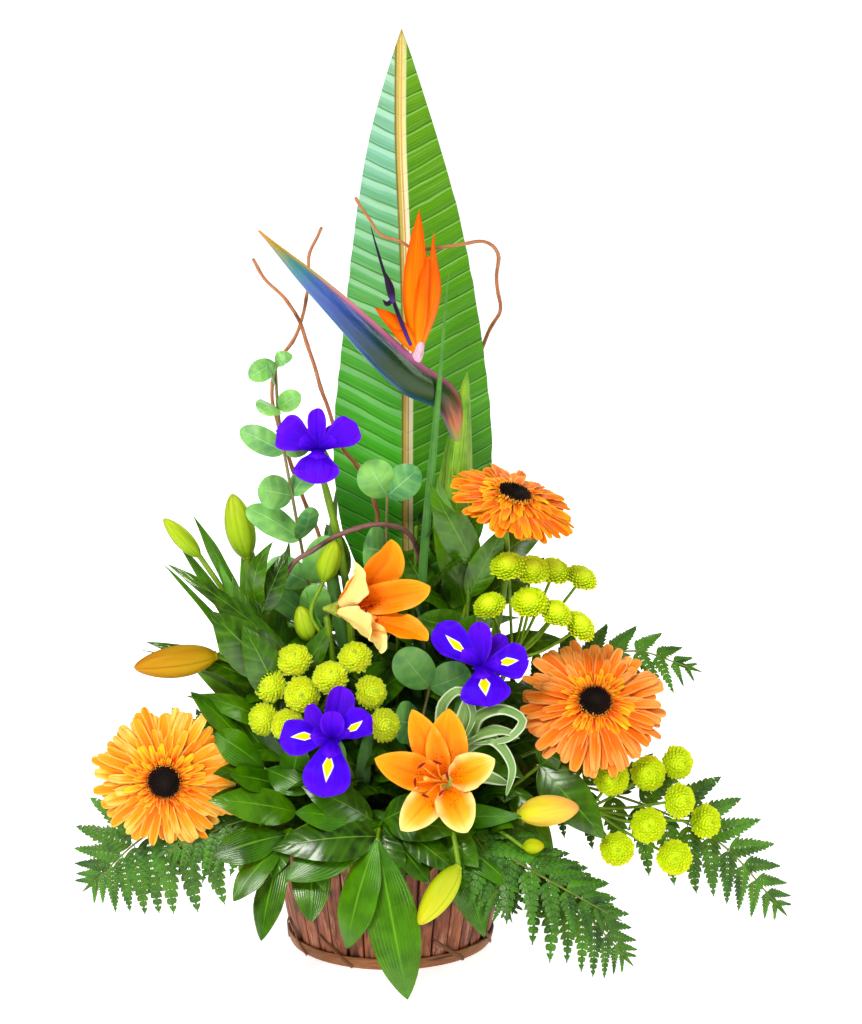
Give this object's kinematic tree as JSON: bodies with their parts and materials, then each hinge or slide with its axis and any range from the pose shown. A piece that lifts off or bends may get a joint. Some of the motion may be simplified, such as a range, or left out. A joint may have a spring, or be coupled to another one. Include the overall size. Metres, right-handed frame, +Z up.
{
  "type": "flower basket arrangement",
  "caption": "Round bark-strip basket filled with foam that holds cut lilies, gerberas, irises, button chrysanthemums, a bird of paradise, a tall broad leaf, twigs, eucalyptus and fern fronds.",
  "frame": {"origin": "middle of the basket's flat underside, on the surface it stands on", "axes": "+Z up, -Y towards the front of the arrangement, +X to the right seen from the front"},
  "size_m": [0.5439, 0.2911, 0.69],
  "materials": {
    "bark": "rough bark strips, dark between",
    "hoop_wood": "split and peeled hoop wood",
    "liner_sheet": "thin folded plastic sheet",
    "wet_foam": "fine-celled wet floral foam",
    "great_leaf": "pleated glossy blade with a pale midrib",
    "spathe": "waxy, from dark green to blue and pink",
    "sepal_orange": "satin",
    "arrow_purple": "satin, dark purple",
    "twig_bark": "smooth thin bark",
    "twig_purple": "smooth purple-brown bark",
    "gerbera_yellow": "matt rays, yellow edges and orange middles",
    "gerbera_orange": "matt rays, orange with yellow edges",
    "gerbera_disc": "tufted, near black with a pollen fringe",
    "stem_green": "smooth stem",
    "lily_orange": "satin, orange with cream edges",
    "lily_stamen": "fine filaments with crimson anthers",
    "lily_green": "satin leaves and ribbed buds",
    "lily_bud": "satin, orange bud",
    "iris_violet": "velvety, blue-violet with yellow signals",
    "button_lime": "matt florets, lime yellow",
    "eucalyptus": "waxy grey-green",
    "leaf_glossy": "glossy mid green",
    "leaf_dark": "dark green, lighter ribs",
    "leaf_striped": "green with white edges",
    "grass": "thin folded blade",
    "fern": "thin matt fronds"
  },
  "bodies": {
    "root": {"basket_floor": "bark", "basket_wall": "bark", "basket_bottom_hoop": "hoop_wood", "basket_top_hoop": "hoop_wood", "liner": "liner_sheet", "great_leaf": "great_leaf", "bird_of_paradise_spathe": "spathe", "bird_of_paradise_sepals": "sepal_orange", "bird_of_paradise_arrow": "arrow_purple", "twig_left": "twig_bark", "twig_short": "twig_bark", "twig_hooked": "twig_bark", "twig_arched": "twig_purple", "gerbera_left_rays": "gerbera_yellow", "gerbera_left_disc": "gerbera_disc", "gerbera_left_stem": "stem_green", "gerbera_right_rays": "gerbera_orange", "gerbera_right_disc": "gerbera_disc", "gerbera_right_stem": "stem_green", "gerbera_upper_rays": "gerbera_orange", "gerbera_upper_disc": "gerbera_disc", "gerbera_upper_stem": "stem_green", "lily_upper_tepals": "lily_orange", "lily_upper_stamens": "lily_stamen", "lily_lower_tepals": "lily_orange", "lily_lower_stamens": "lily_stamen", "lily_stalk_left": "lily_green", "lily_bud_orange": "lily_bud", "lily_stalk_upper": "lily_green", "lily_stalk_lower": "lily_green", "iris_left_petals": "iris_violet", "iris_left_stem": "stem_green", "iris_front_petals": "iris_violet", "iris_front_stem": "stem_green", "iris_right_petals": "iris_violet", "iris_right_stem": "stem_green", "chrysanthemum_spray_left": "button_lime", "chrysanthemum_spray_right_top": "button_lime", "chrysanthemum_spray_right_low": "button_lime", "eucalyptus_left": "eucalyptus", "eucalyptus_upper": "eucalyptus", "eucalyptus_middle": "eucalyptus", "ruscus_left": "leaf_glossy", "ruscus_rim_left": "leaf_glossy", "ruscus_rim_front": "leaf_glossy", "ruscus_rim_right": "leaf_glossy", "broad_leaves_right": "leaf_dark", "broad_leaves_upper": "leaf_dark", "strap_leaves_left": "leaf_dark", "variegated_straps": "leaf_striped", "grass_blades": "grass", "fern_left": "fern", "fern_left_high": "fern", "fern_right": "fern", "fern_right_low": "fern", "fern_right_high": "fern", "fern_back_left": "fern", "fern_back_right": "fern", "broad_leaves_back": "leaf_dark", "foam": "wet_foam"}
  },
  "joints": []
}
